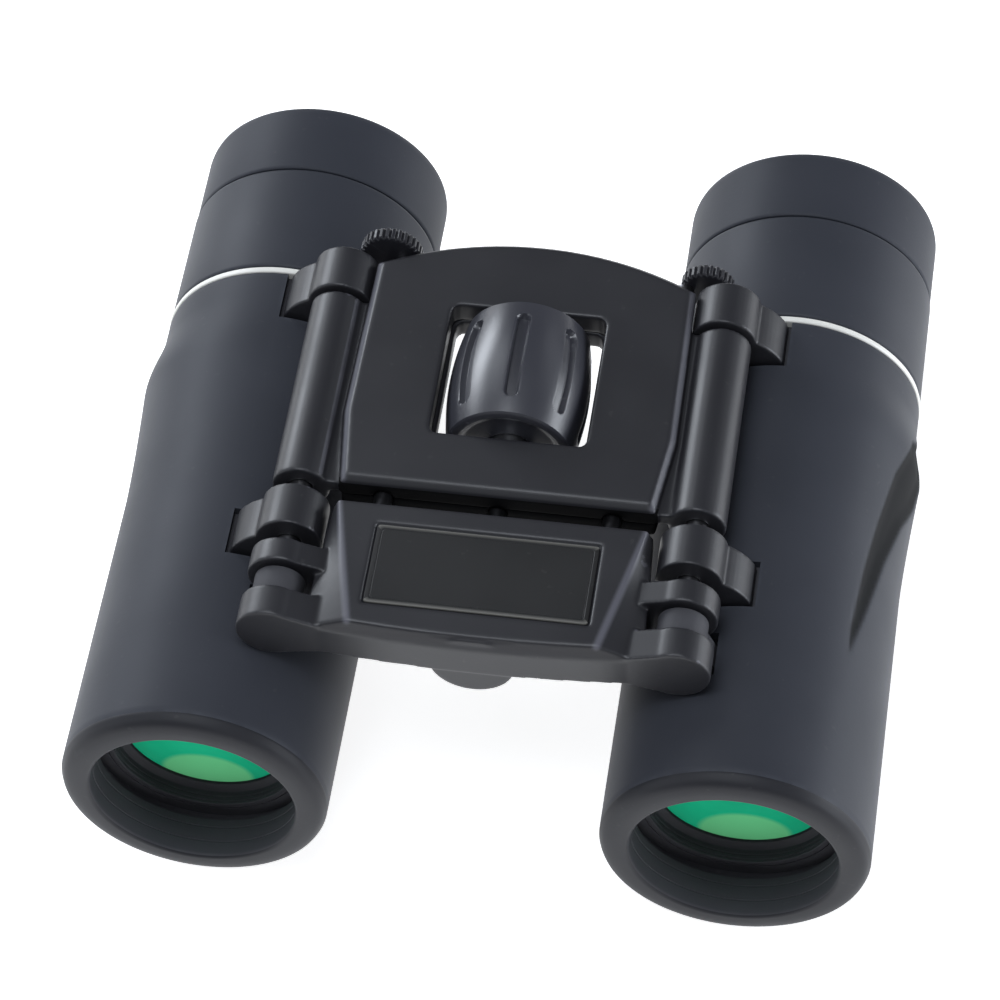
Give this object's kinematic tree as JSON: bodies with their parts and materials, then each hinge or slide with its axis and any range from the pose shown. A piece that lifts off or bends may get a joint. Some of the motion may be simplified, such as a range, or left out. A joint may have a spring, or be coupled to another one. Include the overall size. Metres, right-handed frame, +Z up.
{
  "type": "folding binoculars",
  "caption": "Folding pocket binoculars: two barrels with arms on a hinged bridge, centre focus wheel and slider, sliding objectives and eyecups.",
  "frame": {"origin": "centre of the length and width, at the barrels' lowest line, where the binoculars lie on a table", "axes": "+X to the right barrel, +Y from the objectives to the eyecups, +Z up through the bridge"},
  "size_m": [0.1076, 0.1062, 0.0465],
  "materials": {
    "barrel_skin": "satin blue-grey soft-touch coat",
    "eyecup_rubber": "satin blue-grey rubber",
    "rim_plastic": "satin dark grey",
    "white_trim": "warm white",
    "bridge_plastic": "fine satin black",
    "wheel_plastic": "semi-gloss black",
    "label_plate": "flat black, blank",
    "steel": "plated",
    "brass": "turned",
    "coated_glass": "green coating",
    "clear_glass": "polished",
    "inner_black": "anti-glare black"
  },
  "bodies": {
    "bridge": {"bottom_cover": "bridge_plastic", "cover_screws": "steel", "guide_rods": "steel", "left_hinge_rod": "steel", "left_knurled_cap": "bridge_plastic", "right_hinge_rod": "steel", "right_knurled_cap": "bridge_plastic", "top_cover": "bridge_plastic"},
    "left_barrel": {"left_barrel_sleeve": "barrel_skin", "left_barrel_tube": "bridge_plastic", "left_eye_lens": "clear_glass", "left_eyepiece_cell": "inner_black", "left_field_lens": "clear_glass", "left_field_stop": "inner_black", "left_front_bezel": "rim_plastic", "left_half_penta_prism": "clear_glass", "left_ocular_tube": "inner_black", "left_prism_holder": "inner_black", "left_rear_ring": "barrel_skin", "left_roof_prism": "clear_glass", "left_white_ring": "white_trim"},
    "right_barrel": {"right_barrel_sleeve": "barrel_skin", "right_barrel_tube": "bridge_plastic", "right_field_stop": "inner_black", "right_front_bezel": "rim_plastic", "right_half_penta_prism": "clear_glass", "right_ocular_tube": "inner_black", "right_prism_holder": "inner_black", "right_roof_prism": "clear_glass", "right_white_ring": "white_trim"},
    "left_objective": {"left_objective_cell": "inner_black", "left_objective_front_lens": "coated_glass", "left_objective_rear_lens": "coated_glass", "left_retaining_ring": "inner_black"},
    "right_objective": {"right_objective_cell": "inner_black", "right_objective_front_lens": "coated_glass", "right_objective_rear_lens": "coated_glass", "right_retaining_ring": "inner_black"},
    "left_eyecup": {"left_eyecup": "eyecup_rubber"},
    "right_eyecup": {"right_eyecup": "eyecup_rubber"},
    "dioptre_ring": {"right_dioptre_ring": "barrel_skin"},
    "right_ocular": {"right_eye_lens": "clear_glass", "right_eyepiece_cell": "inner_black", "right_field_lens": "clear_glass"},
    "focus_wheel": {"focus_spindle": "steel", "focus_wheel": "wheel_plastic", "wheel_washers": "steel"},
    "focus_yoke": {"focus_yoke": "bridge_plastic", "label_plate": "label_plate", "nose_disc": "bridge_plastic", "yoke_base": "bridge_plastic", "yoke_nut": "brass"}
  },
  "joints": [
    {"name": "left_fold", "type": "hinge", "parent": "bridge", "child": "left_barrel", "pos_m": [-0.026, 0, 0.038], "axis": [0, -1, 0], "range_deg": [0, 44]},
    {"name": "right_fold", "type": "hinge", "parent": "bridge", "child": "right_barrel", "pos_m": [0.026, 0, 0.038], "axis": [0, 1, 0], "range_deg": [0, 44]},
    {"name": "focus_turn", "type": "hinge", "parent": "bridge", "child": "focus_wheel", "pos_m": [0, 0, 0.037], "axis": [0, 1, 0], "range_deg": [-200, 200]},
    {"name": "focus_slide", "type": "slide", "parent": "bridge", "child": "focus_yoke", "axis": [0, 1, 0], "range_m": [-0.0012, 0.0012]},
    {"name": "left_objective_slide", "type": "slide", "parent": "left_barrel", "child": "left_objective", "axis": [0, 1, 0], "range_m": [-0.0012, 0.0012]},
    {"name": "right_objective_slide", "type": "slide", "parent": "right_barrel", "child": "right_objective", "axis": [0, 1, 0], "range_m": [-0.0012, 0.0012]},
    {"name": "left_eyecup_pull", "type": "slide", "parent": "left_barrel", "child": "left_eyecup", "axis": [0, 1, 0], "range_m": [0, 0.005]},
    {"name": "right_eyecup_pull", "type": "slide", "parent": "right_barrel", "child": "right_eyecup", "axis": [0, 1, 0], "range_m": [0, 0.005]},
    {"name": "dioptre_turn", "type": "hinge", "parent": "right_barrel", "child": "dioptre_ring", "pos_m": [0.0352, 0, 0.0175], "axis": [0, 1, 0], "range_deg": [-60, 60]},
    {"name": "dioptre_slide", "type": "slide", "parent": "right_barrel", "child": "right_ocular", "axis": [0, 1, 0], "range_m": [-0.001, 0.001]}
  ],
  "couplings": [
    {"joint": "focus_slide", "follows": "focus_turn", "m_per_rad": 0.000343},
    {"joint": "left_objective_slide", "follows": "focus_turn", "m_per_rad": 0.000343},
    {"joint": "right_objective_slide", "follows": "focus_turn", "m_per_rad": 0.000343},
    {"joint": "dioptre_slide", "follows": "dioptre_turn", "m_per_rad": 0.00095}
  ]
}
